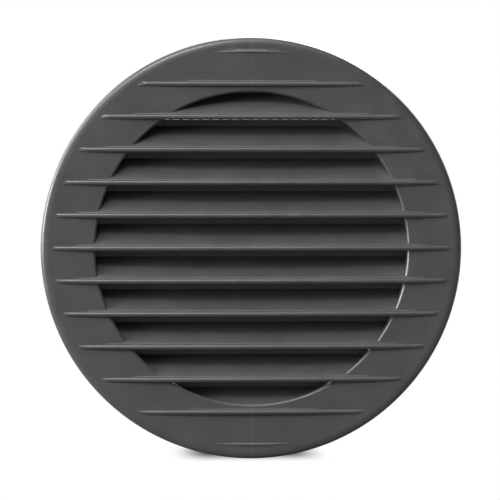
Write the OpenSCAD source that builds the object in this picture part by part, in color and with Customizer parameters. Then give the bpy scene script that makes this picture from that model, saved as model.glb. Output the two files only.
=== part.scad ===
// Round louvred ventilation cap that pushes into a 125 mm air duct.
// One moulding carries the flange, the fins, the louvre blades and the spigot,
// and a moulded insect screen snaps into the spigot behind the blades.
// The front looks along -Y, +Z is up, and Y = 0 is the wall that the flange meets.

/* [Flange] */
// Outer diameter of the flange
flange_d = 160; // [150:1:200]
// Depth of the flange, from the wall to its flat face
flange_h = 5; // [4:0.5:8]
// Thickness of the face
face_t = 2; // [1.6:0.1:2.6]
// Thickness of the wall that turns back round the edge
rim_t = 2.2; // [1.6:0.1:3]
// Radius of the gentle crown where the face starts to fall away
crown_r = 7; // [5:0.5:10]
// Angle that the crown turns through before the edge radius takes over
crown_angle = 15; // [10:1:20]
// Radius of the outer edge
edge_r = 2; // [1.5:0.1:2.5]

/* [Opening and spigot] */
// Outer diameter of the spigot, 2 mm under the duct's bore
spigot_d = 123; // [121.5:0.5:126]
// Thickness of the spigot's wall, which also sets the opening in the face
spigot_t = 2.2; // [1.6:0.1:2.6]
// Radius of the opening's front edge
mouth_r = 0.3; // [0.2:0.1:1.5]
// Length of the spigot behind the wall
spigot_l = 28; // [20:1:60]
// Length of the lead-in chamfer at the spigot's end
lead_in = 2; // [1:0.5:4]
// Depth of the lead-in chamfer into the spigot's wall
lead_in_cut = 0.6; // [0.3:0.1:0.8]
// Radius inside the corners behind the flange
corner_r = 0.8; // [0.4:0.1:1]

/* [Fins] */
// Spacing of the fins and of the blades behind them
fin_pitch = 12.45; // [11:0.05:15]
// Thickness of a fin, which has a full round nose
fin_t = 2; // [1.6:0.1:2.4]
// Height of the fins over the face at the centre
fin_rise = 3.5; // [2.5:0.1:5]
// Height of the fins where their ends start to slope
fin_end_h = 0.45; // [0.3:0.05:1]
// Length of a fin's sloping end
fin_end_l = 1.5; // [1:0.1:4]
// Flat margin between the fins' ends and the crown of the edge
fin_margin = 1; // [0.5:0.1:4]
// Radius along the root of each fin
root_r = 0.5; // [0.3:0.1:0.6]

/* [Louvre blades] */
// Slope of the blades against the face's normal
blade_slope = 45; // [40:1:50]
// Thickness of a blade, square to its slope
blade_t = 2.2; // [1.8:0.1:2.6]
// Depth of the level lip under each fin
lip = 0.4; // [0.3:0.1:0.8]
// Depth of the sloping face
slope_run = 7.5; // [6:0.05:8.5]
// Thickness of the upstand at the back of a blade
upstand_t = 1.6; // [1.2:0.1:2]
// Height of an upstand's top over the level of the next fin's underside
overlap = 0.05; // [-0.5:0.05:1]

/* [Insect screen] */
// Thickness of the screen's ring
ring_t = 1.6; // [1.2:0.1:2.5]
// Width of the screen's ring
ring_w = 1; // [0.8:0.1:4]
// Thickness of the strands
strand_t = 1; // [0.8:0.1:1.2]
// Width of the strands
strand_w = 1.2; // [0.8:0.1:1.6]
// Spacing of the upright strands
strand_pitch = 3.8; // [3.6:0.1:5]
// Upright strand spacings between two cross ties
tie_every = 11; // [9:2:13]
// Distance of the screen's seat behind the blades
seat_gap = 0.65; // [0.4:0.05:2]
// Width of the ledge that the ring seats on
ledge_w = 0.6; // [0.4:0.1:0.8]
// Clearance round the ring and behind it
ring_fit = 0.1; // [0.05:0.05:0.2]
// Number of nibs that hold the ring
nib_count = 6; // [3:1:12]
// Height of a nib over the spigot's inner wall
nib_h = 0.4; // [0.3:0.1:0.6]
// Width of a nib along the wall
nib_w = 6; // [3:0.5:10]
// Length of a nib, ramped towards the spigot's end
nib_l = 2; // [1.5:0.5:4]

/* [Hidden] */

flange_r = flange_d / 2;
spigot_r = spigot_d / 2;
bore_r = spigot_r - spigot_t;
face_y = -flange_h;

// Edge of the flange: the crown's arc starts at crown_x and hands over to the edge radius
crown_x = flange_r - edge_r - (crown_r - edge_r) * sin(crown_angle);
crown_y = face_y + crown_r;
edge_x = flange_r - edge_r;
edge_y = crown_y - (crown_r - edge_r) * cos(crown_angle);

// The crests of the fins lie on one shallow dome, which their sloping ends leave
fin_r = crown_x - fin_margin;
dome_drop = fin_rise - fin_end_h;
dome_r = ((fin_r - fin_end_l) ^ 2 + dome_drop ^ 2) / (2 * dome_drop);
dome_y = face_y - fin_rise + dome_r;
fin_sweep = asin(fin_r / dome_r) + 1;
fin_last = floor((fin_r - 0.5) / fin_pitch);

// Section of a blade, measured from the middle of its fin
land_z = blade_t / cos(blade_slope) - lip * tan(blade_slope) - fin_t / 2;
corner_y = face_y + slope_run;
corner_z = land_z + slope_run * tan(blade_slope);
blade_top = fin_pitch - fin_t / 2 + overlap;
blade_back = corner_y + upstand_t;
blade_end_r = (bore_r + mouth_r + spigot_r) / 2;
blade_first = -floor((bore_r + blade_top) / fin_pitch);
blade_last = floor((bore_r + fin_t / 2) / fin_pitch);

// Seat of the screen
seat_y = blade_back + seat_gap;
seat_r = bore_r + ledge_w;
ring_r = seat_r - ring_fit;
net_r = ring_r - ring_w;
net_y = seat_y + (ring_t - strand_t) / 2;
tie_pitch = strand_pitch * tie_every;
nib_y = seat_y + ring_t + ring_fit;
strand_count = floor((net_r - strand_w) / strand_pitch);
tie_count = floor((net_r - strand_w) / tie_pitch + 1 / 2);

turn_fn = 180;
arc_fn = 48;
crest_fn = 1440;

// Turns a profile drawn as [distance from the axis, Y] about the spigot's axis
module turned(angle = 360) {
    rotate([-90, 0, 0])
        rotate_extrude(angle = angle, $fn = turn_fn)
            children();
}

// Extrudes a section drawn as [Y, Z] across the whole flange
module across() {
    translate([-flange_r, 0, 0])
        rotate([90, 0, 90])
            linear_extrude(flange_d)
                children();
}

// Sweeps a profile drawn as [height, Z] along the crest line of fin k.
// Height 0 is the crest, and negative heights lie behind it.
module along_crest(k) {
    z = k * fin_pitch;
    crest_r = sqrt(dome_r ^ 2 - z ^ 2);
    translate([0, dome_y, z])
        rotate([0, 0, -90 - fin_sweep])
            rotate_extrude(angle = 2 * fin_sweep, $fn = crest_fn)
                translate([crest_r, 0])
                    children();
}

// Quarter of a hollow corner at the origin, open towards +X and +Y
module hollow_corner(r) {
    difference() {
        square(r);
        translate([r, r]) circle(r, $fn = arc_fn);
    }
}

// Outer outline of the flange, with its crown and edge radius, from the axis out
module flange_outline() {
    translate([0, face_y]) square([crown_x, flange_h]);
    translate([0, edge_y]) square([flange_r, -edge_y]);
    translate([edge_x, edge_y]) circle(edge_r, $fn = arc_fn);
    intersection() {
        translate([crown_x, crown_y]) circle(crown_r, $fn = 4 * arc_fn);
        polygon([
            [crown_x, crown_y],
            [crown_x, face_y - 1],
            [crown_x + (flange_h + crown_r) * tan(crown_angle), crown_y - flange_h - crown_r]
        ]);
        translate([0, face_y]) square([flange_r, flange_h]);
    }
}

// Annular recess behind the face, between the rim's wall and the spigot
module flange_recess() {
    inner = spigot_r;
    outer = flange_r - rim_t;
    floor_y = face_y + face_t;
    difference() {
        translate([inner, floor_y]) square([outer - inner, flange_h]);
        translate([inner, floor_y]) hollow_corner(corner_r);
        translate([outer, floor_y]) mirror([1, 0]) hollow_corner(corner_r);
    }
}

// Flange and spigot as one turned shell, with the screen's ledge inside
module shell_profile() {
    difference() {
        union() {
            flange_outline();
            square([spigot_r, spigot_l - lead_in]);
            polygon([
                [0, spigot_l - lead_in],
                [spigot_r, spigot_l - lead_in],
                [spigot_r - lead_in_cut, spigot_l],
                [0, spigot_l]
            ]);
        }
        translate([0, face_y - 1]) square([bore_r, flange_h + spigot_l + 2]);
        translate([0, seat_y]) square([seat_r, spigot_l]);
        translate([bore_r, face_y]) hollow_mouth();
        flange_recess();
    }
}

// What the rounding of the opening's front edge takes away
module hollow_mouth() {
    difference() {
        translate([-1, -1]) square(mouth_r + 1);
        translate([mouth_r, mouth_r]) circle(mouth_r, $fn = arc_fn);
    }
}

module shell() {
    turned() shell_profile();
}

// Space under one shallow cone, which slopes the ends of all fins
module fin_cone() {
    turned()
        polygon([
            [0, face_y + lip],
            [fin_r, face_y + lip],
            [fin_r, face_y],
            [0, face_y - fin_r * fin_end_h / fin_end_l]
        ]);
}

// Fin k: a rib with a full round nose, whose crest follows the dome
module fin(k) {
    depth = fin_rise + lip + 1;
    intersection() {
        along_crest(k) {
            translate([-fin_t / 2, 0]) circle(d = fin_t, $fn = arc_fn);
            translate([-depth, -fin_t / 2]) square([depth - fin_t / 2, fin_t]);
        }
        fin_cone();
    }
}

// Height of fin k's flat flank over the face, at its middle
function flank_h(k) = fin_rise - fin_t / 2 - dome_r + sqrt(dome_r ^ 2 - (k * fin_pitch) ^ 2);

// Root radius along one side of fin k, which runs out with the fin's flank
module fin_root(k, side) {
    reach = fin_t + root_r;
    intersection() {
        across()
            translate([face_y, k * fin_pitch + side * fin_t / 2])
                mirror([0, side > 0 ? 0 : 1]) mirror([1, 0]) hollow_corner(root_r);
        along_crest(k)
            translate([-fin_t / 2 - fin_rise - root_r, -reach])
                square([fin_rise + root_r, 2 * reach]);
    }
}

module fin_roots(k) {
    if (flank_h(k) > root_r / 4) {
        fin_root(k, 1);
        difference() {
            fin_root(k, -1);
            rotate([90, 0, 0]) cylinder(h = 4 * flange_h, r = bore_r + mouth_r, center = true, $fn = turn_fn);
        }
    }
}

// Section of a blade: lip, land, slope and upstand
module blade_section() {
    polygon([
        [face_y, land_z],
        [face_y, -fin_t / 2],
        [face_y + lip, -fin_t / 2],
        [blade_back, (blade_back - face_y - lip) * tan(blade_slope) - fin_t / 2],
        [blade_back, blade_top],
        [corner_y, blade_top],
        [corner_y, corner_z]
    ]);
}

// Louvre blades, which end inside the wall round the opening
module blades() {
    intersection() {
        for (k = [blade_first : blade_last])
            across() translate([0, k * fin_pitch]) blade_section();
        translate([0, face_y, 0])
            rotate([-90, 0, 0])
                cylinder(h = blade_back - face_y, r = blade_end_r, $fn = turn_fn);
    }
}

// Nibs inside the spigot that the screen's ring snaps past
module nibs() {
    nib_angle = nib_w / seat_r * 180 / PI;
    for (i = [0 : nib_count - 1])
        rotate([0, (i + 0.5) * 360 / nib_count - nib_angle / 2, 0])
            turned(nib_angle)
                polygon([
                    [seat_r + ledge_w / 2, nib_y],
                    [seat_r - nib_h, nib_y],
                    [seat_r - nib_h, nib_y + nib_l / 4],
                    [seat_r, nib_y + nib_l],
                    [seat_r + ledge_w / 2, nib_y + nib_l]
                ]);
}

module grille() {
    color("#46484a") {
        shell();
        blades();
        nibs();
        for (k = [-fin_last : fin_last]) {
            fin(k);
            fin_roots(k);
        }
    }
}

// Gaps of the net, drawn flat: tall slots between the upright strands and the ties
module net_gaps() {
    gap_w = strand_pitch - strand_w;
    gap_h = tie_pitch - strand_w;
    intersection() {
        circle(net_r, $fn = turn_fn);
        for (i = [-strand_count - 1 : strand_count])
            for (j = [-tie_count : tie_count])
                translate([i * strand_pitch + strand_w / 2, (j - 1 / 2) * tie_pitch + strand_w / 2])
                    square([gap_w, gap_h]);
    }
}

module insect_screen() {
    color("#1c1d1f") {
        turned() translate([net_r, seat_y]) square([ring_w, ring_t]);
        translate([0, net_y, 0])
            rotate([90, 0, 0])
                mirror([0, 0, 1])
                    linear_extrude(strand_t)
                        difference() {
                            circle(net_r + ring_w / 2, $fn = turn_fn);
                            net_gaps();
                        }
    }
}

grille();
insect_screen();
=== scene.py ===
"""Round louvred ventilation cap: moulded grille and insect screen, their finishes, and a plain studio."""

import math

import bmesh
import bpy
from bpy.props import FloatProperty, FloatVectorProperty, IntProperty, PointerProperty
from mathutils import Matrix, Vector


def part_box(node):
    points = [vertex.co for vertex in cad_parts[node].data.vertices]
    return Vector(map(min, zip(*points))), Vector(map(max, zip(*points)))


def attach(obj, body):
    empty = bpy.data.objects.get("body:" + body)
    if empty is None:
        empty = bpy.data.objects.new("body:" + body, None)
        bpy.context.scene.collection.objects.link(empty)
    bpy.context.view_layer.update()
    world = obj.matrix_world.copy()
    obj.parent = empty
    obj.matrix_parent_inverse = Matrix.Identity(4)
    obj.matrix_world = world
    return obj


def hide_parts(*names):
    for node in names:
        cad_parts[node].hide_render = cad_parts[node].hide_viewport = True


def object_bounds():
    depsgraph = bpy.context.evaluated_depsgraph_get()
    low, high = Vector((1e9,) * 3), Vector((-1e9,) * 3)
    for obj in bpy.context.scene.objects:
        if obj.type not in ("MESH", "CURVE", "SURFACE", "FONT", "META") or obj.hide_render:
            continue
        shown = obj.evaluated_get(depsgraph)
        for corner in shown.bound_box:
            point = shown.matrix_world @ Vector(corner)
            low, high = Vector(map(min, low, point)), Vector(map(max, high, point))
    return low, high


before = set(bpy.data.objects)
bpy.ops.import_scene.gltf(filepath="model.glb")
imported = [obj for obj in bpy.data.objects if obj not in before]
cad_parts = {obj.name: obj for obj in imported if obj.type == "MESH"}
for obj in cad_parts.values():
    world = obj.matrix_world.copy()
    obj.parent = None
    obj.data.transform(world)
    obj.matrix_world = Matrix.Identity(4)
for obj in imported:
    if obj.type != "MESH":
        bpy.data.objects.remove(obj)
CAD_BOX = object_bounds()
GRILLE_LOW, GRILLE_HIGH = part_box("grille")
SCREEN_LOW, SCREEN_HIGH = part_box("insect_screen")

bl_info = {
    "name": "Round louvred ventilation cap",
    "version": (1, 0, 0),
    "blender": (4, 5, 0),
    "location": "3D View > Sidebar > Vent cap",
    "description": "Models a moulded ventilation cap with its insect screen and sets up a plain studio",
    "category": "Object",
}

# Metres in a millimetre, and a quarter turn in radians
MM = 0.001
QUARTER = math.pi / 2
# Points closer than this are one point
MERGE = 0.001 * MM
# Steps of a full turn, of a sweep along a fin's crest, of a nib's width and round an ejector mark
TURN_STEPS = 256
SWEEP_STEPS = 64
NIB_STEPS = 8
PIN_STEPS = 48
# Steps of the arcs in a section: a small radius, the flange's edge and a fin's round nose
FILLET_STEPS = 6
EDGE_STEPS = 12
NOSE_STEPS = 18
# Steps of the rounding that a sharp corner of a section gets
SOFT_STEPS = 3
# Steps of the rounding along the screen's strands, and the least angle of an edge that gets it
STRAND_STEPS = 2
STRAND_ANGLE = math.radians(60)
# Edges that turn by less than this are shaded smooth
SMOOTH_ANGLE = math.radians(35)
# Angle by which the sweep of a fin's crest runs past its end, which is trimmed afterwards
SWEEP_SPARE = math.radians(1)
# Least distance from the last fin to the end of the fins' field
FIN_LEAST = 0.5 * MM


def length(name, description, millimetres):
    """A length that is given in millimetres and kept in metres."""
    return FloatProperty(name=name, description=description, default=millimetres * MM, min=0, unit="LENGTH")


def angle(name, description, degrees):
    """An angle that is given in degrees and kept in radians."""
    return FloatProperty(name=name, description=description, default=math.radians(degrees), unit="ROTATION")


def share(name, description, default):
    """A share from 0 to 1."""
    return FloatProperty(
        name=name, description=description, default=default, min=0, max=1, subtype="FACTOR"
    )


def colour(name, description, hex_colour):
    """A colour that is given as an sRGB hex value and kept linear."""
    return FloatVectorProperty(
        name=name, description=description, default=linear(hex_colour), subtype="COLOR", min=0, max=1
    )


def linear(hex_colour):
    """Linear red, green and blue of an sRGB hex colour."""
    values = [int(hex_colour[i : i + 2], 16) / 255 for i in (1, 3, 5)]
    return tuple(v / 12.92 if v <= 0.04045 else ((v + 0.055) / 1.055) ** 2.4 for v in values)


class VentCapGrille(bpy.types.PropertyGroup):
    """Sizes of the moulded grille"""

    face_height: length("Face height", "Depth of the flange, from the wall to its flat face", 5)
    crown_radius: length("Crown radius", "Radius where the face starts to fall away to its edge", 7)
    crown_angle: angle("Crown angle", "Angle of the crown, up to where the edge radius takes over", 15)
    edge_radius: length("Edge radius", "Radius of the flange's outer edge", 2)
    face_thickness: length("Face thickness", "Thickness of the flange's face", 2)
    rim_thickness: length("Rim thickness", "Thickness of the wall that turns back round the edge", 2.2)
    inner_radius: length("Inner radius", "Radius inside the corners behind the flange", 0.8)
    spigot_radius: length("Spigot radius", "Outer radius of the spigot", 61.5)
    spigot_wall: length("Spigot wall", "Thickness of the spigot's wall", 2.2)
    mouth_width: length("Mouth width", "Width of the small chamfer round the opening", 0.65)
    mouth_depth: length("Mouth depth", "Depth of the chamfer round the opening", 0.5)
    lead_in: length("Lead-in", "Length of the chamfer at the spigot's end", 2)
    lead_in_cut: length("Lead-in depth", "Depth of the chamfer into the spigot's wall", 0.6)
    fin_pitch: length("Fin pitch", "Spacing of the fins and of the blades behind them", 12.45)
    fin_thickness: length("Fin thickness", "Thickness of a fin, which has a full round nose", 2)
    fin_end_height: length("Fin end height", "Height of the fins where their ends start to slope", 0.45)
    fin_end_length: length("Fin end length", "Length of a fin's sloping end", 1.5)
    fin_margin: length("Fin margin", "Flat margin between the fins' ends and the crown of the edge", 1)
    root_radius: length("Root radius", "Radius along the root of each fin", 0.5)
    lip: length("Lip", "Depth of the level lip under each fin", 0.4)
    blade_thickness: length("Blade thickness", "Thickness of a blade, square to its slope", 2.2)
    blade_run: length("Blade run", "Depth of a blade's sloping face", 7.5)
    upstand: length("Upstand", "Thickness of the upstand at the back of a blade", 1.6)
    overlap: length("Overlap", "Height of an upstand's top over the next fin's underside", 0.09)
    ledge: length("Ledge", "Width of the ledge that the screen's ring seats on", 0.6)
    ring_play: length("Ring play", "Clearance round the screen's ring and behind it", 0.1)
    nib_height: length("Nib height", "Height of a nib over the spigot's inner wall", 0.4)
    nib_width: length("Nib width", "Width of a nib along the wall", 6)
    nib_length: length("Nib length", "Length of a nib, ramped towards the spigot's end", 2)
    soft_edge: length("Soft edge", "Rounding that the mould leaves on the shell's sharp edges", 0.15)
    blade_edge: length("Blade edge", "Rounding along the blades' edges", 0.05)
    nib_count: IntProperty(name="Nibs", description="Number of nibs that hold the ring", default=6, min=3)
    pin_radius: length("Pin radius", "Radius of an ejector pin's mark behind the flange", 2.5)
    pin_mark: length("Pin mark depth", "Depth of an ejector pin's mark", 0.15)
    pin_count: IntProperty(name="Pins", description="Number of ejector pins' marks", default=8, min=2)


class VentCapScreen(bpy.types.PropertyGroup):
    """Sizes of the insect screen"""

    strand_pitch: length("Strand spacing", "Distance from strand to strand of the square net", 3.8)
    strand_width: length("Strand width", "Width of a strand, seen from the front", 1.2)
    strand_depth: length("Strand depth", "Thickness of a strand along the duct", 1)
    strand_edge: length("Strand edge", "Rounding along the strands", 0.25)
    ring_width: length("Ring width", "Width of the flat ring that carries the net", 1)
    ring_edge: length("Ring edge", "Rounding along the ring's edges", 0.2)


def point_arc(centre, radius, first, last, steps):
    """Points on an arc in a section's plane, from the angle first to last."""
    turns = [first + (last - first) * i / steps for i in range(steps + 1)]
    return [(centre[0] + radius * math.cos(t), centre[1] + radius * math.sin(t)) for t in turns]


def draw_line(name, points, soft_edge=0):
    """A closed line through the points, drawn by extruding one vertex, with its sharp corners rounded."""
    points = [Vector(point) for point in points]
    bpy.ops.object.select_all(action="DESELECT")
    bpy.ops.mesh.primitive_plane_add(size=MM, location=(0, 0, 0))
    line = bpy.context.object
    line.name = name
    bpy.ops.object.mode_set(mode="EDIT")
    bpy.ops.mesh.merge(type="CENTER")
    bpy.ops.transform.translate(value=points[0])
    for start, end in zip(points, points[1:] + points[:1]):
        bpy.ops.mesh.extrude_region_move(TRANSFORM_OT_translate={"value": end - start})
    bpy.ops.mesh.select_all(action="SELECT")
    bpy.ops.mesh.remove_doubles(threshold=MERGE)
    if soft_edge:
        bpy.ops.mesh.select_all(action="DESELECT")
        mesh = bmesh.from_edit_mesh(line.data)
        for vert in mesh.verts:
            sides = [edge.other_vert(vert).co - vert.co for edge in vert.link_edges]
            vert.select = math.pi - sides[0].angle(sides[1]) > SMOOTH_ANGLE
        bmesh.update_edit_mesh(line.data)
        bpy.ops.mesh.bevel(offset=soft_edge, segments=SOFT_STEPS, affect="VERTICES")
        bpy.ops.mesh.select_all(action="SELECT")
    return line


def close_solid():
    """Merges the seam, caps the open ends and turns the faces outwards."""
    bpy.ops.mesh.select_all(action="SELECT")
    bpy.ops.mesh.remove_doubles(threshold=MERGE)
    bpy.ops.mesh.fill_holes(sides=0)
    bpy.ops.mesh.select_all(action="SELECT")
    bpy.ops.mesh.normals_make_consistent(inside=False)
    bpy.ops.object.mode_set(mode="OBJECT")


def turn(name, section, first=0, sweep=2 * math.pi, steps=TURN_STEPS, soft_edge=0):
    """Turns a section of (radius, Y) points about the spigot's axis, which is Y."""
    ring = [(radius * math.cos(first), y, radius * math.sin(first)) for radius, y in section]
    solid = draw_line(name, ring, soft_edge)
    bpy.ops.mesh.spin(steps=steps, angle=-sweep, center=(0, 0, 0), axis=(0, 1, 0))
    close_solid()
    return solid


def run_across(name, section, half_width, soft_edge=0):
    """Extrudes a section of (Y, Z) points along X, from side to side."""
    solid = draw_line(name, [(-half_width, y, z) for y, z in section], soft_edge)
    bpy.ops.mesh.extrude_region_move(TRANSFORM_OT_translate={"value": (2 * half_width, 0, 0)})
    close_solid()
    return solid


def repeat_up(solid, pitch, count):
    """Repeats a solid upwards."""
    rows = solid.modifiers.new("rows", "ARRAY")
    rows.use_relative_offset = False
    rows.use_constant_offset = True
    rows.constant_offset_displace = (0, 0, pitch)
    rows.count = count
    apply_modifier(solid, rows)


def disc(radius, front, back, front_radius=None):
    """A round cutter about the spigot's axis, which can narrow towards its front."""
    bpy.ops.object.select_all(action="DESELECT")
    bpy.ops.mesh.primitive_cone_add(
        vertices=TURN_STEPS,
        radius1=radius,
        radius2=front_radius or radius,
        depth=back - front,
        location=(0, (front + back) / 2, 0),
        rotation=(QUARTER, 0, 0),
    )
    bpy.ops.object.transform_apply(location=True, rotation=True, scale=True)
    return bpy.context.object


def apply_modifier(piece, modifier):
    """Applies one modifier to its piece."""
    bpy.ops.object.select_all(action="DESELECT")
    bpy.context.view_layer.objects.active = piece
    bpy.ops.object.modifier_apply(modifier=modifier.name)


def combine(body, tool, operation):
    """Adds a second solid to a body, cuts it away or keeps what both share, and uses it up."""
    cut = body.modifiers.new("combine", "BOOLEAN")
    cut.operation = operation
    cut.solver = "MANIFOLD"
    cut.object = tool
    apply_modifier(body, cut)
    bpy.data.objects.remove(tool)


def copy_round(solid, count):
    """Copies a solid at even turns about the spigot's axis."""
    bpy.ops.object.mode_set(mode="EDIT")
    bpy.ops.mesh.select_all(action="SELECT")
    bpy.ops.mesh.spin(
        steps=count - 1,
        dupli=True,
        angle=2 * math.pi * (1 - 1 / count),
        center=(0, 0, 0),
        axis=(0, 1, 0),
    )
    bpy.ops.object.mode_set(mode="OBJECT")
    return solid


def join(pieces):
    """Joins separate solids into one object."""
    bpy.ops.object.select_all(action="DESELECT")
    for piece in pieces:
        piece.select_set(True)
    bpy.context.view_layer.objects.active = pieces[0]
    bpy.ops.object.join()
    return pieces[0]


def finish_solid(piece, material):
    """Merges slivers, shades the rounds smooth with the large faces leading, and gives the material."""
    bpy.ops.object.select_all(action="DESELECT")
    piece.select_set(True)
    bpy.context.view_layer.objects.active = piece
    bpy.ops.object.mode_set(mode="EDIT")
    bpy.ops.mesh.select_all(action="SELECT")
    bpy.ops.mesh.remove_doubles(threshold=MERGE)
    bpy.ops.mesh.dissolve_degenerate(threshold=MERGE)
    bpy.ops.object.mode_set(mode="OBJECT")
    bpy.ops.object.shade_smooth_by_angle(angle=SMOOTH_ANGLE)
    weighted = piece.modifiers.new("weighted", "WEIGHTED_NORMAL")
    weighted.keep_sharp = True
    apply_modifier(piece, weighted)
    piece.data.materials.clear()
    piece.data.materials.append(material)


class GrilleForm:
    """Places on the grille that several of its features share, worked out from its sizes and the frame."""

    def __init__(self, sizes):
        self.sizes = sizes
        self.flange = GRILLE_HIGH.x
        self.crest_y = GRILLE_LOW.y
        self.back_y = GRILLE_HIGH.y
        # The front of the screen's ring lies on the ledge
        self.seat_y = SCREEN_LOW.y
        self.bore = sizes.spigot_radius - sizes.spigot_wall
        self.seat = self.bore + sizes.ledge
        self.nose = sizes.fin_thickness / 2
        self.face_y = -sizes.face_height
        inner = sizes.crown_radius - sizes.edge_radius
        self.crown = self.flange - sizes.edge_radius - inner * math.sin(sizes.crown_angle)
        self.fin_end = self.crown - sizes.fin_margin
        self.rise = self.face_y - self.crest_y
        drop = self.rise - sizes.fin_end_height
        self.dome = ((self.fin_end - sizes.fin_end_length) ** 2 + drop**2) / (2 * drop)
        self.dome_y = self.crest_y + self.dome
        self.sweep = math.asin(self.fin_end / self.dome) + SWEEP_SPARE
        self.crown_y = self.face_y + sizes.crown_radius
        self.edge_y = self.crown_y - inner * math.cos(sizes.crown_angle)
        self.land = sizes.blade_thickness * math.sqrt(2) - sizes.lip - self.nose
        self.corner_y = self.face_y + sizes.blade_run
        self.blade_back = self.corner_y + sizes.upstand
        self.blade_top = sizes.fin_pitch - self.nose + sizes.overlap
        self.fins = math.floor((self.fin_end - FIN_LEAST) / sizes.fin_pitch)

    def crest(self, k):
        """Radius of the crest line of fin k, which lies on the dome."""
        return math.sqrt(self.dome**2 - (k * self.sizes.fin_pitch) ** 2)

    def flank(self, k):
        """Height of fin k's flat flank over the face, at its middle."""
        return self.rise - self.nose - self.dome + self.crest(k)


def sweep_crest(name, form, k, section):
    """Sweeps a section of (height over the crest, Z) points along the crest of fin k."""
    radius, z = form.crest(k), k * form.sizes.fin_pitch
    start = -form.sweep
    line = [
        (
            (radius + height) * math.sin(start),
            form.dome_y - (radius + height) * math.cos(start),
            z + side,
        )
        for height, side in section
    ]
    solid = draw_line(name, line)
    bpy.ops.mesh.spin(
        steps=SWEEP_STEPS, angle=-2 * form.sweep, center=(0, form.dome_y, z), axis=(0, 0, 1)
    )
    close_solid()
    return solid


def mould_shell(form):
    """Flange and spigot in one turned shell, from the opening round the edge to the screen's ledge."""
    sizes = form.sizes
    recess_y = form.face_y + sizes.face_thickness + sizes.inner_radius
    rim = form.flange - sizes.rim_thickness
    section = [(form.bore, form.face_y + sizes.mouth_depth), (form.bore + sizes.mouth_width, form.face_y)]
    crown_end = sizes.crown_angle - QUARTER
    section += point_arc((form.crown, form.crown_y), sizes.crown_radius, -QUARTER, crown_end, FILLET_STEPS)
    edge_centre = (form.flange - sizes.edge_radius, form.edge_y)
    section += point_arc(edge_centre, sizes.edge_radius, crown_end, 0, EDGE_STEPS)[1:]
    section += [(form.flange, 0), (rim, 0)]
    corner = sizes.inner_radius
    section += point_arc((rim - corner, recess_y), corner, 0, -QUARTER, FILLET_STEPS)
    section += point_arc(
        (sizes.spigot_radius + corner, recess_y), corner, -QUARTER, -2 * QUARTER, FILLET_STEPS
    )
    section += [
        (sizes.spigot_radius, form.back_y - sizes.lead_in),
        (sizes.spigot_radius - sizes.lead_in_cut, form.back_y),
        (form.seat, form.back_y),
        (form.seat, form.seat_y),
        (form.bore, form.seat_y),
    ]
    return turn("moulded_grille", section, soft_edge=sizes.soft_edge)


def mould_blades(form):
    """Sloping blades with a lip in front and an upstand behind, which end inside the spigot's wall."""
    sizes = form.sizes
    first = -math.floor((form.bore + form.blade_top) / sizes.fin_pitch)
    last = math.floor((form.bore + form.nose) / sizes.fin_pitch)
    z = first * sizes.fin_pitch
    lip_y = form.face_y + sizes.lip
    section = [
        (form.face_y, z + form.land),
        (form.face_y, z - form.nose),
        (lip_y, z - form.nose),
        (form.blade_back, z - form.nose + form.blade_back - lip_y),
        (form.blade_back, z + form.blade_top),
        (form.corner_y, z + form.blade_top),
        (form.corner_y, z + form.land + sizes.blade_run),
    ]
    blades = run_across("blades", section, sizes.spigot_radius, sizes.blade_edge)
    repeat_up(blades, sizes.fin_pitch, last - first + 1)
    end = (form.bore + sizes.mouth_width + sizes.spigot_radius) / 2
    combine(blades, disc(end, form.face_y - MM, form.blade_back + MM), "INTERSECT")
    return blades


def mould_fins(form):
    """Level fins with a full round nose, whose crests lie on one shallow dome and whose ends slope down."""
    sizes = form.sizes
    depth = form.rise + sizes.lip + MM
    section = point_arc((-form.nose, 0), form.nose, QUARTER, -QUARTER, NOSE_STEPS)
    section += [(-depth, -form.nose), (-depth, form.nose)]
    fins = join([sweep_crest("fin", form, k, section) for k in range(-form.fins, form.fins + 1)])
    spread = sizes.fin_end_length / sizes.fin_end_height
    sunk = sizes.lip / 2
    wide, narrow = form.fin_end + sunk * spread, form.fin_end - (form.rise + MM) * spread
    combine(fins, disc(wide, form.crest_y - MM, form.face_y + sunk, narrow), "INTERSECT")
    return fins


def mould_roots(form):
    """Small radius along both sides of each fin, which runs out where the fin's flank does."""
    sizes = form.sizes
    reach = sizes.root_radius
    sunk = sizes.lip / 2
    count = form.fins
    # A fin whose flank is lower than a quarter of the radius has no room for it
    while form.flank(count) < reach / 4:
        count -= 1
    roots = []
    for side in (1, -1):
        arc = point_arc((-reach, form.nose + reach), reach, -QUARTER, 0, FILLET_STEPS)
        section = [(-reach, form.nose - sunk)] + arc + [(sunk, form.nose + reach), (sunk, form.nose - sunk)]
        z = -count * sizes.fin_pitch
        line = [(form.face_y + y, z + side * height) for y, height in section]
        roots.append(run_across("roots", line, form.flange))
        repeat_up(roots[-1], sizes.fin_pitch, 2 * count + 1)
    combine(roots[1], disc(form.bore + sizes.mouth_width, form.crest_y, form.face_y + MM), "DIFFERENCE")
    roots = join(roots)
    half = 2 * form.nose + reach
    bottom = -form.rise - 2 * MM
    band = [(-form.nose, -half), (-form.nose, half), (bottom, half), (bottom, -half)]
    bands = join([sweep_crest("band", form, k, band) for k in range(-count, count + 1)])
    combine(roots, bands, "INTERSECT")
    return roots


def mould_nibs(form):
    """Nibs inside the spigot that the screen's ring snaps past, ramped towards the spigot's end."""
    sizes = form.sizes
    front = SCREEN_HIGH.y + sizes.ring_play
    top = form.seat - sizes.nib_height
    section = [
        (form.seat + sizes.ledge / 2, front),
        (top, front),
        (top, front + sizes.nib_length / 4),
        (form.seat, front + sizes.nib_length),
        (form.seat + sizes.ledge / 2, front + sizes.nib_length),
    ]
    width = sizes.nib_width / form.seat
    nib = turn("nibs", section, first=(math.pi - width) / 2, sweep=width, steps=NIB_STEPS)
    return copy_round(nib, sizes.nib_count)


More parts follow.
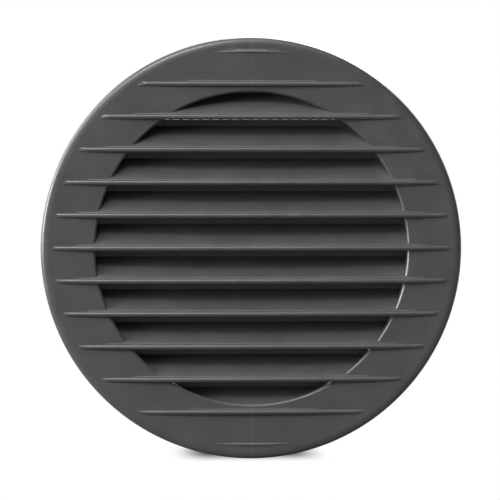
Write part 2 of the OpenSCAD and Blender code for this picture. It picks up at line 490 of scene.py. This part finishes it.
def mark_ejectors(form):
    """Cutters for the shallow round marks that the ejector pins leave behind the flange."""
    sizes = form.sizes
    rim = form.flange - sizes.rim_thickness
    bottom = form.face_y + sizes.face_thickness - sizes.pin_mark
    bpy.ops.object.select_all(action="DESELECT")
    bpy.ops.mesh.primitive_cylinder_add(
        vertices=PIN_STEPS,
        radius=sizes.pin_radius,
        depth=MM,
        location=((sizes.spigot_radius + rim) / 2, bottom + MM / 2, 0),
        rotation=(QUARTER, 0, 0),
    )
    bpy.ops.object.transform_apply(location=True, rotation=True, scale=True)
    return copy_round(bpy.context.object, sizes.pin_count)


class VENTCAP_OT_mould_grille(bpy.types.Operator):
    """Models the one-piece grille: flange, spigot, fins, blades and nibs"""

    bl_idname = "ventcap.mould_grille"
    bl_label = "Mould the grille"

    def execute(self, context):
        form = GrilleForm(context.scene.vent_cap_grille)
        grille = mould_shell(form)
        for feature in (mould_blades, mould_fins, mould_roots, mould_nibs):
            combine(grille, feature(form), "UNION")
        combine(grille, mark_ejectors(form), "DIFFERENCE")
        finish = context.scene.vent_cap_finish
        finish_solid(grille, moulded_asa("moulded_asa_anthracite", finish, form))
        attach(grille, "root")
        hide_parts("grille")
        return {"FINISHED"}


def mould_net(sizes):
    """Square net of level and upright strands with rounded edges, which ends inside the ring."""
    ring_radius = SCREEN_HIGH.x
    middle = (SCREEN_LOW.y + SCREEN_HIGH.y) / 2
    rows = 2 * math.ceil(ring_radius / sizes.strand_pitch)
    bpy.ops.object.select_all(action="DESELECT")
    # Upright strands lie at whole spacings from the middle, level strands half a spacing off it
    bpy.ops.mesh.primitive_grid_add(
        x_subdivisions=rows,
        y_subdivisions=rows + 1,
        size=1,
        location=(0, middle - sizes.strand_depth / 2, 0),
        rotation=(QUARTER, 0, 0),
    )
    net = bpy.context.object
    bpy.ops.transform.resize(value=(rows * sizes.strand_pitch, 1, (rows + 1) * sizes.strand_pitch))
    bpy.ops.object.transform_apply(location=True, rotation=True, scale=True)
    bpy.ops.object.mode_set(mode="EDIT")
    bpy.ops.mesh.select_all(action="SELECT")
    bpy.ops.mesh.inset(thickness=sizes.strand_width / 2, use_individual=True, use_boundary=True)
    bpy.ops.mesh.delete(type="FACE")
    bpy.ops.mesh.select_all(action="SELECT")
    bpy.ops.mesh.extrude_region_move(TRANSFORM_OT_translate={"value": (0, sizes.strand_depth, 0)})
    bpy.ops.mesh.select_all(action="SELECT")
    bpy.ops.mesh.normals_make_consistent(inside=False)
    bpy.ops.object.mode_set(mode="OBJECT")
    net_radius = ring_radius - sizes.ring_width / 2
    combine(net, disc(net_radius, SCREEN_LOW.y - MM, SCREEN_HIGH.y + MM), "INTERSECT")
    soft = net.modifiers.new("soft", "BEVEL")
    soft.width = sizes.strand_edge
    soft.segments = STRAND_STEPS
    soft.limit_method = "ANGLE"
    soft.angle_limit = STRAND_ANGLE
    apply_modifier(net, soft)
    return net


def mould_ring(sizes):
    """Flat ring with rounded edges that carries the net."""
    outside = SCREEN_HIGH.x
    opening = outside - sizes.ring_width
    section = [
        (opening, SCREEN_LOW.y),
        (outside, SCREEN_LOW.y),
        (outside, SCREEN_HIGH.y),
        (opening, SCREEN_HIGH.y),
    ]
    return turn("moulded_screen", section, soft_edge=sizes.ring_edge)


class VENTCAP_OT_mould_screen(bpy.types.Operator):
    """Models the insect screen: a flat ring with a square net inside it"""

    bl_idname = "ventcap.mould_screen"
    bl_label = "Mould the insect screen"

    def execute(self, context):
        sizes = context.scene.vent_cap_screen
        screen = mould_ring(sizes)
        combine(screen, mould_net(sizes), "UNION")
        finish_solid(screen, moulded_pp("moulded_pp_black", context.scene.vent_cap_finish))
        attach(screen, "root")
        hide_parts("insect_screen")
        return {"FINISHED"}


class VentCapFinish(bpy.types.PropertyGroup):
    """Colours and surface of the two plastics"""

    grille_colour: colour("Grille colour", "Anthracite of the moulded grille", "#3d3d3e")
    screen_colour: colour("Screen colour", "Black of the moulded insect screen", "#1c1d1f")
    grain_size: length("Grain size", "Size of the fine spark-eroded grain on the mouldings", 0.35)
    cloud_size: length("Cloud size", "Size of the faint clouds in the pigment", 9)
    weld_width: length("Weld width", "Width of the line where the melt met on the flange", 0.5)
    speck_spacing: length("Speck spacing", "Spacing of the cells that can hold a speck of dust", 5)
    speck_size: length("Speck size", "Radius of a speck of dust", 0.22)
    clean_share: share("Clean share", "Share of the cells that hold no speck", 0.7)


# Noise stays mostly between these two values
NOISE_RANGE = {"From Min": 0.3, "From Max": 0.7}
# Noise at which scuffs and the screen's dust film start, and at which they are full
SCUFF_RANGE = {"From Min": 0.4, "From Max": 0.75}
FILM_RANGE = {"From Min": 0.22, "From Max": 0.45}
# Size of a scuff over that of the grain
SCUFF_GRAINS = 4
# Size of the grain over its depth, on the grille and on the screen
GRILLE_GRAIN_RATIO = 20
SCREEN_GRAIN_RATIO = 15
# Settings of a Map Range node that runs softly from one end to the other
SOFTLY = {"interpolation_type": "SMOOTHSTEP"}


def add_node(tree, kind, settings=None, inputs=None):
    """Adds a node with its own settings, and gives each named input a value or links an output to it."""
    node = tree.nodes.new(kind)
    for name, value in (settings or {}).items():
        setattr(node, name, value)
    for name, value in (inputs or {}).items():
        if isinstance(value, bpy.types.NodeSocket):
            tree.links.new(value, node.inputs[name])
        else:
            node.inputs[name].default_value = value
    return node


def new_material(name):
    """An empty node material, and its node tree."""
    material = bpy.data.materials.new(name)
    material.use_nodes = True
    material.node_tree.nodes.clear()
    return material, material.node_tree


def moulded_asa(name, finish, form):
    """ASA from a spark-eroded mould, in anthracite.

    The erosion leaves it satin, with broad soft highlights and a fine even grain. The pigment has faint
    clouds, the melt left a pale line where it met above and below the opening, and the fins' fronts and the
    rim are rubbed a little smoother and paler. A few specks of dust lie on it.
    """
    material, tree = new_material(name)
    place = add_node(tree, "ShaderNodeTexCoord").outputs["Object"]
    axes = add_node(tree, "ShaderNodeSeparateXYZ", inputs={0: place}).outputs
    clouds = add_node(
        tree,
        "ShaderNodeTexNoise",
        inputs={"Vector": place, "Scale": 1 / finish.cloud_size, "Detail": 4.0, "Roughness": 0.6},
    ).outputs["Fac"]
    # The real grain is near 0.1 mm, and is drawn coarser so that it shows
    grain = add_node(
        tree,
        "ShaderNodeTexNoise",
        inputs={"Vector": place, "Scale": 1 / finish.grain_size, "Detail": 2.0, "Roughness": 0.5},
    ).outputs["Fac"]

    # Weld line, on the flange only
    across = add_node(tree, "ShaderNodeMath", {"operation": "ABSOLUTE"}, {0: axes["X"]}).outputs[0]
    line = add_node(
        tree,
        "ShaderNodeMapRange",
        SOFTLY,
        {"Value": across, "From Min": finish.weld_width / 2, "From Max": 0},
    ).outputs[0]
    up = add_node(tree, "ShaderNodeMath", {"operation": "ABSOLUTE"}, {0: axes["Z"]}).outputs[0]
    outside = add_node(
        tree, "ShaderNodeMath", {"operation": "GREATER_THAN"}, {0: up, 1: form.bore}
    ).outputs[0]
    weld = add_node(tree, "ShaderNodeMath", {"operation": "MULTIPLY"}, {0: line, 1: outside}).outputs[0]

    # Rubbed fronts of the fins, and the rubbed outer edge
    front = add_node(
        tree,
        "ShaderNodeMapRange",
        SOFTLY,
        {"Value": axes["Y"], "From Min": form.crest_y + form.nose, "From Max": form.crest_y},
    ).outputs[0]
    flat = add_node(
        tree, "ShaderNodeVectorMath", {"operation": "MULTIPLY"}, {0: place, 1: (1, 0, 1)}
    ).outputs[0]
    radius = add_node(tree, "ShaderNodeVectorMath", {"operation": "LENGTH"}, {0: flat}).outputs["Value"]
    edge = add_node(
        tree,
        "ShaderNodeMapRange",
        SOFTLY,
        {"Value": radius, "From Min": form.flange - form.nose, "From Max": form.flange},
    ).outputs[0]
    proud = add_node(tree, "ShaderNodeMath", {"operation": "MAXIMUM"}, {0: front, 1: edge}).outputs[0]
    scuff_size = SCUFF_GRAINS * finish.grain_size
    scuffs = add_node(
        tree,
        "ShaderNodeTexNoise",
        inputs={"Vector": place, "Scale": 1 / scuff_size, "Detail": 3.0, "Roughness": 0.7},
    ).outputs["Fac"]
    worn = add_node(tree, "ShaderNodeMapRange", inputs={"Value": scuffs, **SCUFF_RANGE}).outputs[0]
    rubbed = add_node(tree, "ShaderNodeMath", {"operation": "MULTIPLY"}, {0: proud, 1: worn}).outputs[0]

    # Specks of dust in a few of the cells
    cells = add_node(
        tree, "ShaderNodeTexVoronoi", inputs={"Vector": place, "Scale": 1 / finish.speck_spacing}
    ).outputs
    spot = add_node(
        tree,
        "ShaderNodeMath",
        {"operation": "LESS_THAN"},
        {0: cells["Distance"], 1: finish.speck_size / finish.speck_spacing},
    ).outputs[0]
    chance = add_node(tree, "ShaderNodeSeparateColor", inputs={0: cells["Color"]}).outputs[0]
    chosen = add_node(
        tree, "ShaderNodeMath", {"operation": "GREATER_THAN"}, {0: chance, 1: finish.clean_share}
    ).outputs[0]
    dust = add_node(tree, "ShaderNodeMath", {"operation": "MULTIPLY"}, {0: spot, 1: chosen}).outputs[0]

    shade = add_node(
        tree,
        "ShaderNodeMapRange",
        inputs={"Value": clouds, **NOISE_RANGE, "To Min": 0.9, "To Max": 1.1},
    ).outputs[0]
    for mark, paler in ((grain, 0.1), (weld, 0.5), (rubbed, 0.25), (dust, 1.2)):
        shade = add_node(
            tree, "ShaderNodeMath", {"operation": "MULTIPLY_ADD"}, {0: mark, 1: paler, 2: shade}
        ).outputs[0]
    tint = add_node(
        tree,
        "ShaderNodeVectorMath",
        {"operation": "SCALE"},
        {0: tuple(finish.grille_colour), "Scale": shade},
    ).outputs[0]
    roughness = add_node(
        tree,
        "ShaderNodeMapRange",
        inputs={"Value": clouds, **NOISE_RANGE, "To Min": 0.27, "To Max": 0.35},
    ).outputs[0]
    for mark, rougher in ((grain, 0.04), (weld, -0.04), (front, -0.06), (rubbed, -0.06), (dust, 0.3)):
        roughness = add_node(
            tree, "ShaderNodeMath", {"operation": "MULTIPLY_ADD"}, {0: mark, 1: rougher, 2: roughness}
        ).outputs[0]
    relief = add_node(
        tree, "ShaderNodeMath", {"operation": "MULTIPLY_ADD"}, {0: clouds, 1: 0.5, 2: grain}
    ).outputs[0]
    depth = finish.grain_size / GRILLE_GRAIN_RATIO
    bump = add_node(
        tree, "ShaderNodeBump", inputs={"Height": relief, "Strength": 0.25, "Distance": depth}
    ).outputs[0]
    plastic = add_node(
        tree,
        "ShaderNodeBsdfPrincipled",
        inputs={"Base Color": tint, "Roughness": roughness, "IOR": 1.52, "Normal": bump},
    )
    add_node(tree, "ShaderNodeOutputMaterial", inputs={"Surface": plastic.outputs["BSDF"]})
    return material


def moulded_pp(name, finish):
    """Polypropylene moulded in black.

    It is a little waxy, with broad soft highlights, a fine grain, faint flow clouds and some pale dust that
    the air through the screen has left on it.
    """
    material, tree = new_material(name)
    place = add_node(tree, "ShaderNodeTexCoord").outputs["Object"]
    # This grain too is drawn coarser than the real one, so that it shows
    grain = add_node(
        tree,
        "ShaderNodeTexNoise",
        inputs={"Vector": place, "Scale": 1 / finish.grain_size, "Detail": 3.0, "Roughness": 0.6},
    ).outputs["Fac"]
    clouds = add_node(
        tree,
        "ShaderNodeTexNoise",
        inputs={"Vector": place, "Scale": 1 / finish.cloud_size, "Detail": 3.0, "Roughness": 0.6},
    ).outputs["Fac"]
    film = add_node(tree, "ShaderNodeMath", {"operation": "MULTIPLY"}, {0: grain, 1: clouds}).outputs[0]
    dust = add_node(tree, "ShaderNodeMapRange", inputs={"Value": film, **FILM_RANGE}).outputs[0]
    shade = add_node(
        tree, "ShaderNodeMath", {"operation": "MULTIPLY_ADD"}, {0: dust, 1: 0.8, 2: 0.8}
    ).outputs[0]
    tint = add_node(
        tree,
        "ShaderNodeVectorMath",
        {"operation": "SCALE"},
        {0: tuple(finish.screen_colour), "Scale": shade},
    ).outputs[0]
    roughness = add_node(
        tree, "ShaderNodeMath", {"operation": "MULTIPLY_ADD"}, {0: dust, 1: 0.2, 2: 0.42}
    ).outputs[0]
    depth = finish.grain_size / SCREEN_GRAIN_RATIO
    bump = add_node(
        tree, "ShaderNodeBump", inputs={"Height": grain, "Strength": 0.3, "Distance": depth}
    ).outputs[0]
    plastic = add_node(
        tree,
        "ShaderNodeBsdfPrincipled",
        inputs={"Base Color": tint, "Roughness": roughness, "IOR": 1.49, "Normal": bump},
    )
    add_node(tree, "ShaderNodeOutputMaterial", inputs={"Surface": plastic.outputs["BSDF"]})
    return material


class VentCapStudio(bpy.types.PropertyGroup):
    """Camera, floor and lamps"""

    camera_distance: length("Camera distance", "From the camera to the middle of the cap", 1100)
    camera_elevation: angle("Camera elevation", "Angle of the camera above the cap's axis", 1.5)
    camera_yaw: angle("Camera turn", "Angle of the camera to the left of the cap's axis", 3)
    frame_width: length("Frame width", "Width that the camera sees at the cap", 190.42)
    aim_x: FloatProperty(
        name="Aim across", description="Camera's aim, right of the axis", default=-0.49 * MM, unit="LENGTH"
    )
    aim_z: FloatProperty(
        name="Aim up", description="Camera's aim, above the axis", default=-0.76 * MM, unit="LENGTH"
    )
    lamp_distance: length("Lamp distance", "From each lamp to the middle of the cap", 3000)
    floor_width: length("Floor width", "Width of the floor", 20000)
    board_grey: share("Board grey", "Share of the light that the floor throws back on the cap", 0.17)
    # The floor's shadow is painted into its glow, and these set its reach, width, start and strength
    shadow_reach: length("Shadow reach", "Distance within which the cap darkens the floor", 80)
    shadow_width: length("Shadow width", "Half width of the floor's shadow", 31)
    shadow_start: length("Shadow start", "Half depth over which the shadow sets in at the wall plane", 18)
    shadow_strength: share("Shadow strength", "How much darker the shadow is than the floor", 0.88)
    backdrop_fade: length("Backdrop fade", "Depth over which the mirrored floor turns white", 300)
    even_light: share("Even light", "Brightness that the surroundings give the cap", 0.04)
    front_glow: share("Front glow", "Brightness of the surroundings in front, as mirrored in the cap", 0.1)


WHITE = (1, 1, 1, 1)
# Rays for the floor's painted shadow, and the shares of open sky at which it starts and is full
SKY_SAMPLES = 32
SHADOW_RANGE = {"From Min": 0.97, "From Max": 0.6}
# How far back a mirrored ray points, from 0 to 1, where the surroundings are full white
SKY_FADE = 0.6
# Width of the camera's sensor in millimetres
SENSOR_WIDTH = 36
# Soft round lamps: name, angle to the right of the front, angle up, diameter in metres, brightness
LAMPS = (
    ("side_lamp", -75, 9, 1.4, 28),
    ("high_side_lamp", -73, 38, 1.6, 8),
    ("near_side_lamp", -50, 20, 1.5, 1.5),
    ("key_lamp", -20, 45, 0.55, 50),
    ("soft_key_lamp", -20, 52, 3.2, 2.8),
    ("back_lamp", 160, 40, 2.0, 9),
    ("back_fill_lamp", -130, 20, 2.0, 6),
)


def white_floor(name):
    """A matt white board with a painted shadow where the cap's edge is close above it.

    The camera sees it as a white glow with that shade painted in: darker where the cap covers its sky, near
    the point of contact and towards the back. Reflections of the part behind the cap see it white too. All
    other light meets the plain board.
    """
    material, tree = new_material(name)
    studio = bpy.context.scene.vent_cap_studio
    place = add_node(tree, "ShaderNodeTexCoord").outputs["Object"]
    axes = add_node(tree, "ShaderNodeSeparateXYZ", inputs={0: place}).outputs
    open_sky = add_node(
        tree, "ShaderNodeAmbientOcclusion", {"samples": SKY_SAMPLES}, {"Distance": studio.shadow_reach}
    ).outputs["AO"]
    covered = add_node(
        tree,
        "ShaderNodeMapRange",
        SOFTLY,
        {"Value": open_sky, **SHADOW_RANGE},
    ).outputs[0]
    aside = add_node(tree, "ShaderNodeMath", {"operation": "ABSOLUTE"}, {0: axes["X"]}).outputs[0]
    touching = add_node(
        tree,
        "ShaderNodeMapRange",
        SOFTLY,
        {"Value": aside, "From Min": studio.shadow_width, "From Max": studio.shadow_width / 2},
    ).outputs[0]
    behind = add_node(
        tree,
        "ShaderNodeMapRange",
        SOFTLY,
        {"Value": axes["Y"], "From Min": -studio.shadow_start, "From Max": studio.shadow_start},
    ).outputs[0]
    # Painted shadow: the covered sky, kept near the point of contact and towards the back
    painted_shadow = covered
    for limit in (touching, behind):
        painted_shadow = add_node(tree, "ShaderNodeMath", {"operation": "MULTIPLY"}, {0: painted_shadow, 1: limit}).outputs[0]
    # The white glow, with the painted shadow taken out of it
    light = add_node(
        tree, "ShaderNodeMath", {"operation": "MULTIPLY_ADD"}, {0: painted_shadow, 1: -studio.shadow_strength, 2: 1.0}
    ).outputs[0]
    glow = add_node(tree, "ShaderNodeEmission", inputs={"Color": WHITE, "Strength": light}).outputs[0]
    grey = (studio.board_grey, studio.board_grey, studio.board_grey, 1)
    board = add_node(tree, "ShaderNodeBsdfDiffuse", inputs={"Color": grey}).outputs[0]
    backdrop = add_node(
        tree,
        "ShaderNodeMapRange",
        inputs={"Value": axes["Y"], "From Min": 0.0, "From Max": studio.backdrop_fade},
    ).outputs[0]
    path = add_node(tree, "ShaderNodeLightPath").outputs
    mirrored = add_node(
        tree, "ShaderNodeMath", {"operation": "MULTIPLY"}, {0: path["Is Glossy Ray"], 1: backdrop}
    ).outputs[0]
    seen = path["Is Camera Ray"]
    for ray in (path["Is Transmission Ray"], mirrored):
        seen = add_node(tree, "ShaderNodeMath", {"operation": "MAXIMUM"}, {0: seen, 1: ray}).outputs[0]
    choose = add_node(tree, "ShaderNodeMixShader", inputs={"Fac": seen, 1: board, 2: glow})
    add_node(tree, "ShaderNodeOutputMaterial", inputs={"Surface": choose.outputs[0]})
    return material


def white_surroundings(scene):
    """A white backdrop all round for the camera, which gives the cap a little even light.

    Reflections see it white behind the cap and dim on the side that the camera and the lamps stand on.
    """
    studio = scene.vent_cap_studio
    world = bpy.data.worlds.new("studio_world")
    world.use_nodes = True
    scene.world = world
    tree = world.node_tree
    tree.nodes.clear()
    way = add_node(tree, "ShaderNodeTexCoord").outputs["Generated"]
    behind = add_node(tree, "ShaderNodeSeparateXYZ", inputs={0: way}).outputs["Y"]
    mirrored = add_node(
        tree,
        "ShaderNodeMapRange",
        inputs={"Value": behind, "From Min": 0.0, "From Max": SKY_FADE, "To Min": studio.front_glow},
    ).outputs[0]
    path = add_node(tree, "ShaderNodeLightPath").outputs
    direct = add_node(
        tree,
        "ShaderNodeMath",
        {"operation": "MAXIMUM"},
        {0: path["Is Camera Ray"], 1: path["Is Transmission Ray"]},
    ).outputs[0]
    glossy = add_node(
        tree,
        "ShaderNodeMix",
        inputs={"Factor": path["Is Glossy Ray"], "A": studio.even_light, "B": mirrored},
    ).outputs[0]
    strength = add_node(
        tree, "ShaderNodeMix", inputs={"Factor": direct, "A": glossy, "B": 1.0}
    ).outputs[0]
    sky = add_node(tree, "ShaderNodeBackground", inputs={"Color": WHITE, "Strength": strength})
    add_node(tree, "ShaderNodeOutputWorld", inputs={"Surface": sky.outputs[0]})


def direction(turned, raised):
    """Way from the cap to a lamp or the camera, from its angles to the right of the front and upwards."""
    level = math.cos(raised)
    return Vector((math.sin(turned) * level, -math.cos(turned) * level, math.sin(raised)))


def look_back(thing, towards):
    """Turns a lamp or camera to face the cap, from which it stands in the direction towards."""
    thing.rotation_euler = (-towards).to_track_quat("-Z", "Y").to_euler()


class VENTCAP_OT_set_up_studio(bpy.types.Operator):
    """Places the floor, the lamps, the white surroundings and the camera"""

    bl_idname = "ventcap.set_up_studio"
    bl_label = "Set up the studio"

    def execute(self, context):
        scene = context.scene
        studio = scene.vent_cap_studio
        bpy.ops.mesh.primitive_plane_add(size=studio.floor_width, location=(0, 0, CAD_BOX[0].z))
        floor = context.object
        floor.name = "studio_floor"
        floor.data.materials.append(white_floor("matt_white_board_painted_shadow"))
        white_surroundings(scene)

        for name, turned, raised, size, brightness in LAMPS:
            towards = direction(math.radians(turned), math.radians(raised))
            bpy.ops.object.light_add(type="AREA", location=towards * studio.lamp_distance)
            lamp = context.object
            lamp.name = name
            lamp.data.shape = "DISK"
            lamp.data.size = size
            # Power that gives a disc of this size its brightness
            lamp.data.energy = brightness * (math.pi * size / 2) ** 2
            look_back(lamp, towards)

        towards = direction(-studio.camera_yaw, studio.camera_elevation)
        aim = Vector((studio.aim_x, 0, studio.aim_z))
        bpy.ops.object.camera_add(location=aim + towards * studio.camera_distance)
        camera = context.object
        camera.name = "studio_camera"
        look_back(camera, towards)
        camera.data.sensor_width = SENSOR_WIDTH
        camera.data.lens = SENSOR_WIDTH * studio.camera_distance / studio.frame_width
        camera.data.clip_start = 10 * MM
        scene.camera = camera
        scene.view_settings.view_transform = "Standard"
        return {"FINISHED"}


class VENTCAP_PT_panel(bpy.types.Panel):
    """Lists the steps that build and light the ventilation cap"""

    bl_label = "Ventilation cap"
    bl_idname = "VENTCAP_PT_panel"
    bl_space_type = "VIEW_3D"
    bl_region_type = "UI"
    bl_category = "Vent cap"

    def draw(self, context):
        for operator in OPERATORS:
            self.layout.operator(operator.bl_idname)


OPERATORS = (VENTCAP_OT_mould_grille, VENTCAP_OT_mould_screen, VENTCAP_OT_set_up_studio)
CLASSES = (VentCapGrille, VentCapScreen, VentCapFinish, VentCapStudio, *OPERATORS, VENTCAP_PT_panel)


def register():
    for cls in CLASSES:
        bpy.utils.register_class(cls)
    bpy.types.Scene.vent_cap_grille = PointerProperty(type=VentCapGrille)
    bpy.types.Scene.vent_cap_screen = PointerProperty(type=VentCapScreen)
    bpy.types.Scene.vent_cap_finish = PointerProperty(type=VentCapFinish)
    bpy.types.Scene.vent_cap_studio = PointerProperty(type=VentCapStudio)


def unregister():
    del bpy.types.Scene.vent_cap_grille
    del bpy.types.Scene.vent_cap_screen
    del bpy.types.Scene.vent_cap_finish
    del bpy.types.Scene.vent_cap_studio
    for cls in reversed(CLASSES):
        bpy.utils.unregister_class(cls)


def main():
    register()
    bpy.ops.ventcap.mould_grille()
    bpy.ops.ventcap.mould_screen()
    bpy.ops.ventcap.set_up_studio()


if __name__ == "__main__":
    main()
